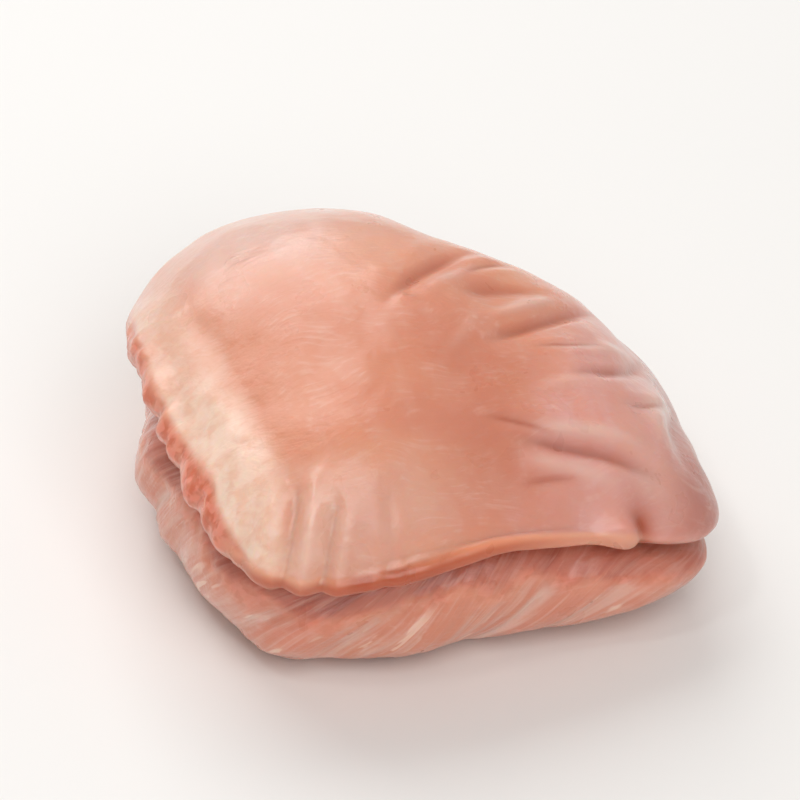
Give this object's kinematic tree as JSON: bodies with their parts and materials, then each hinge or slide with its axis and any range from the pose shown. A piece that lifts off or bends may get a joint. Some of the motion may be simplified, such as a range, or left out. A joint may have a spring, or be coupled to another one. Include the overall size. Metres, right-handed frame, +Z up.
{
  "type": "boneless skinless chicken thigh",
  "caption": "Raw boneless, skinless chicken thigh folded in two, with a smooth domed upper face, a pale fat margin, a thin rolled front edge and a puckered end.",
  "frame": {"origin": "middle of the bounding box in plan, at the underside that the folded thigh rests on", "axes": "+X along the front margin to the puckered end, +Y back from the front margin, +Z up through the smooth upper face"},
  "size_m": [0.0746, 0.0724, 0.039],
  "materials": {
    "raw_meat": "raw chicken meat, moist satin, peach to pink under a thin clear fascia, with a cream fat band, lilac fascia and redder meat inside the fold"
  },
  "bodies": {
    "root": {"thigh": "raw_meat"}
  },
  "joints": []
}
